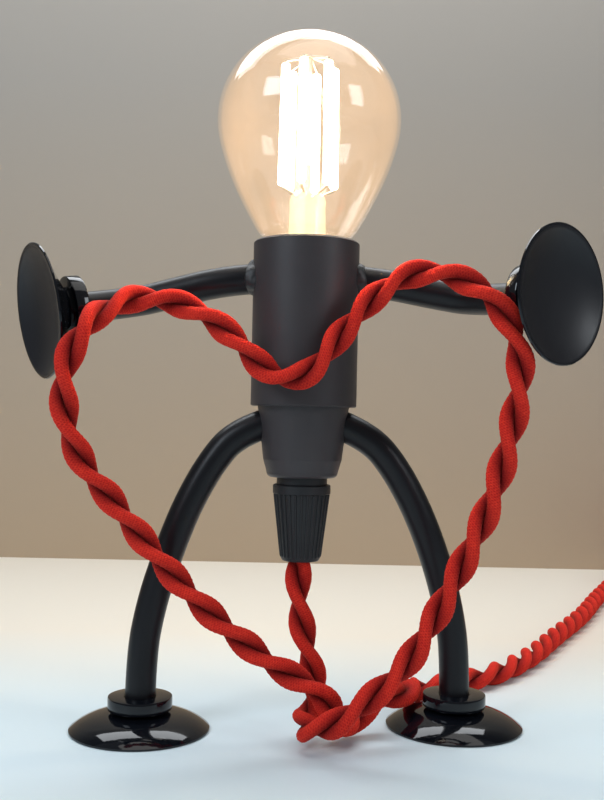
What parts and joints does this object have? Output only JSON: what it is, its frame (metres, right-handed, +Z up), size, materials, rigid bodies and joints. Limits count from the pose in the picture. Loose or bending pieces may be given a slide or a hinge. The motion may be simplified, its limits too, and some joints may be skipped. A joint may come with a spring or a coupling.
{
  "type": "robot shaped desk lamp",
  "caption": "Bare-bulb table lamp shaped like a little robot, with bendable cable limbs, suction-cup hands and feet, and a twisted textile cord looped round its body.",
  "frame": {"origin": "middle of the lamp's footprint on the table, without its free cord", "axes": "+Z up, the lamp faces -Y, +X towards its right-hand cup as seen from the front"},
  "size_m": [0.324, 0.2964, 0.1704],
  "materials": {
    "holder_black": "smooth satin black thermoplastic",
    "grip_black": "moulded black nylon",
    "cable_black": "glossy black cable sheath",
    "cup_black": "glossy black vinyl",
    "carrier_white": "glazed steatite",
    "contact_brass": "plain",
    "screw_steel": "zinc plated",
    "lead_blue": "core insulation",
    "lead_brown": "core insulation",
    "cord_red": "braided textile",
    "plug_black": "moulded",
    "pin_nickel": "nickel plated",
    "bulb_clear": "clear",
    "stem_glass": "clear",
    "filament_warm": "phosphor coating",
    "bulb_wire": "plain",
    "cap_nickel": "nickel plated brass",
    "insulator_black": "glass insulator",
    "solder": "solder",
    "board_green": "circuit board",
    "glue_black": "glue"
  },
  "bodies": {
    "torso": {"lampholder_skirt": "holder_black", "lampholder_cap": "holder_black", "contact_carrier": "carrier_white", "neutral_terminal": "contact_brass", "line_terminal": "contact_brass", "terminal_screws": "screw_steel", "screw_shell": "contact_brass", "centre_contact": "contact_brass", "grip_body": "grip_black", "grip_nut": "grip_black", "neutral_lead": "lead_blue", "line_lead": "lead_brown", "left_shoulder_bead": "glue_black", "right_shoulder_bead": "glue_black", "cord_drop": "cord_red", "cord_loop": "cord_red", "cord_tail": "cord_red", "cord_coil": "cord_red", "cord_end": "cord_red", "plug_boot": "plug_black", "plug_body": "plug_black", "plug_pins": "pin_nickel"},
    "bulb": {"bulb_base": "cap_nickel", "bulb_insulator": "insulator_black", "bulb_tip": "solder", "driver_board": "board_green", "bulb_glass": "bulb_clear", "glass_stem": "stem_glass", "led_filaments": "filament_warm", "lead_wires": "bulb_wire", "filament_support": "bulb_wire"},
    "left_arm": {"left_arm_cable": "cable_black"},
    "left_hand": {"left_hand_cup": "cup_black"},
    "right_arm": {"right_arm_cable": "cable_black"},
    "right_hand": {"right_hand_cup": "cup_black"},
    "left_leg": {"left_leg_cable": "cable_black"},
    "left_foot": {"left_foot_cup": "cup_black"},
    "right_leg": {"right_leg_cable": "cable_black"},
    "right_foot": {"right_foot_cup": "cup_black"}
  },
  "joints": [
    {"name": "bulb_turn", "type": "hinge", "parent": "torso", "child": "bulb", "pos_m": [0, 0.0057, 0.105], "axis": [0, 0, 1], "range_deg": [0, 180]},
    {"name": "left_arm_bend", "type": "hinge", "parent": "torso", "child": "left_arm", "pos_m": [-0.025, 0.0057, 0.1075], "axis": [0, 1, 0], "range_deg": [0, 60], "deforming": ["left_arm_cable"]},
    {"name": "right_arm_bend", "type": "hinge", "parent": "torso", "child": "right_arm", "pos_m": [0.025, 0.0057, 0.1078], "axis": [0, -1, 0], "range_deg": [0, 60], "deforming": ["right_arm_cable"]},
    {"name": "left_leg_bend", "type": "hinge", "parent": "torso", "child": "left_leg", "pos_m": [-0.02, 0.0047, 0.067], "axis": [0, 1, 0], "range_deg": [0, 20], "deforming": ["left_leg_cable"]},
    {"name": "right_leg_bend", "type": "hinge", "parent": "torso", "child": "right_leg", "pos_m": [0.02, 0.0067, 0.067], "axis": [0, -1, 0], "range_deg": [0, 20], "deforming": ["right_leg_cable"]},
    {"name": "left_hand_turn", "type": "hinge", "parent": "left_arm", "child": "left_hand", "pos_m": [-0.063, -0.0053, 0.1], "axis": [-0.848, -0.509, -0.148], "continuous": true},
    {"name": "right_hand_turn", "type": "hinge", "parent": "right_arm", "child": "right_hand", "pos_m": [0.0575, -0.0173, 0.1051], "axis": [0.6521, -0.7581, 0], "continuous": true},
    {"name": "left_foot_turn", "type": "hinge", "parent": "left_leg", "child": "left_foot", "pos_m": [-0.0381, 0.0022, 0], "axis": [0, 0, 1], "continuous": true},
    {"name": "right_foot_turn", "type": "hinge", "parent": "right_leg", "child": "right_foot", "pos_m": [0.0392, 0.0102, 0], "axis": [0, 0, 1], "continuous": true}
  ]
}
